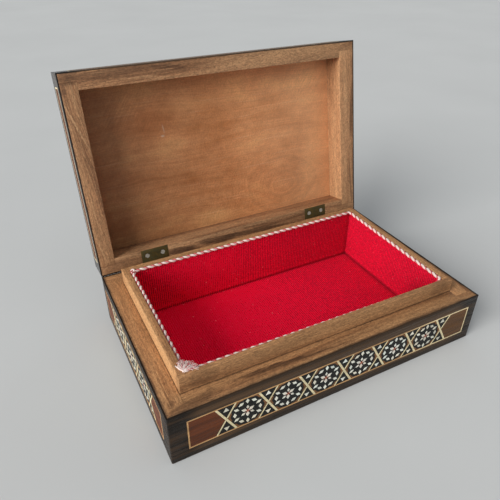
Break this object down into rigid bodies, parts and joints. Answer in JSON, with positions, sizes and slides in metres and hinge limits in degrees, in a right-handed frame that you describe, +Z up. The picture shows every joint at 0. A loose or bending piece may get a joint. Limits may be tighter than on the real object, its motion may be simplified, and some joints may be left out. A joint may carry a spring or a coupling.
{
  "type": "inlaid wooden box",
  "caption": "Rectangular wooden keepsake box with star-pattern marquetry bands, a hinged lid standing open, a raised inner lip and a ribbed velvet lining trimmed with twisted cord.",
  "frame": {"origin": "middle of the underside of the base, on the surface the box stands on", "axes": "+X to the right along the front, +Y from the front to the hinged back, +Z up; the lid is drawn standing open"},
  "size_m": [0.25, 0.2091, 0.1942],
  "materials": {
    "walnut": "worn satin",
    "panel_wood": "satin",
    "dark_veneer": "polished, worn at the edges",
    "mahogany": "polished",
    "boxwood": "polished",
    "black_ground": "polished",
    "pearl": "polished shell",
    "velvet": "ribbed pile",
    "trim_cord": "twisted two-colour yarn",
    "hinge_brass": "tarnished",
    "steel": "dull"
  },
  "bodies": {
    "base": {"base_front_board": "walnut", "base_back_board": "walnut", "base_left_board": "walnut", "base_right_board": "walnut", "bottom_board": "walnut", "lip_front_board": "walnut", "lip_back_board": "walnut", "lip_left_board": "walnut", "lip_right_board": "walnut", "floor_lining": "velvet", "front_lining": "velvet", "back_lining": "velvet", "left_lining": "velvet", "right_lining": "velvet", "lining_cord": "trim_cord", "base_front_veneer": "dark_veneer", "base_back_veneer": "dark_veneer", "base_left_veneer": "dark_veneer", "base_right_veneer": "dark_veneer", "front_band_ground": "black_ground", "front_band_strings": "boxwood", "front_band_panels": "mahogany", "front_band_pearl": "pearl", "back_band_ground": "black_ground", "back_band_strings": "boxwood", "back_band_panels": "mahogany", "back_band_pearl": "pearl", "left_band_ground": "black_ground", "left_band_strings": "boxwood", "left_band_panels": "mahogany", "left_band_pearl": "pearl", "right_band_ground": "black_ground", "right_band_strings": "boxwood", "right_band_panels": "mahogany", "right_band_pearl": "pearl", "left_hinge_base_leaf": "hinge_brass", "left_hinge_pin": "steel", "right_hinge_base_leaf": "hinge_brass", "right_hinge_pin": "steel", "base_hinge_screws": "steel"},
    "lid": {"left_hinge_lid_leaf": "hinge_brass", "right_hinge_lid_leaf": "hinge_brass", "lid_hinge_screws": "steel", "lid_front_rail": "walnut", "lid_back_rail": "walnut", "lid_left_rail": "walnut", "lid_right_rail": "walnut", "lid_top_board": "panel_wood", "lid_front_veneer": "dark_veneer", "lid_back_veneer": "dark_veneer", "lid_left_veneer": "dark_veneer", "lid_right_veneer": "dark_veneer", "lid_top_veneer": "dark_veneer", "lid_side_strings": "boxwood", "lid_side_panels": "mahogany", "lid_top_ground": "black_ground", "lid_top_strings": "boxwood", "lid_top_panel": "mahogany", "lid_top_pearl": "pearl"}
  },
  "joints": [
    {"name": "lid_hinge", "type": "hinge", "parent": "base", "child": "lid", "pos_m": [0, 0.0774, 0.04215], "axis": [1, 0, 0], "range_deg": [0, 101]}
  ]
}
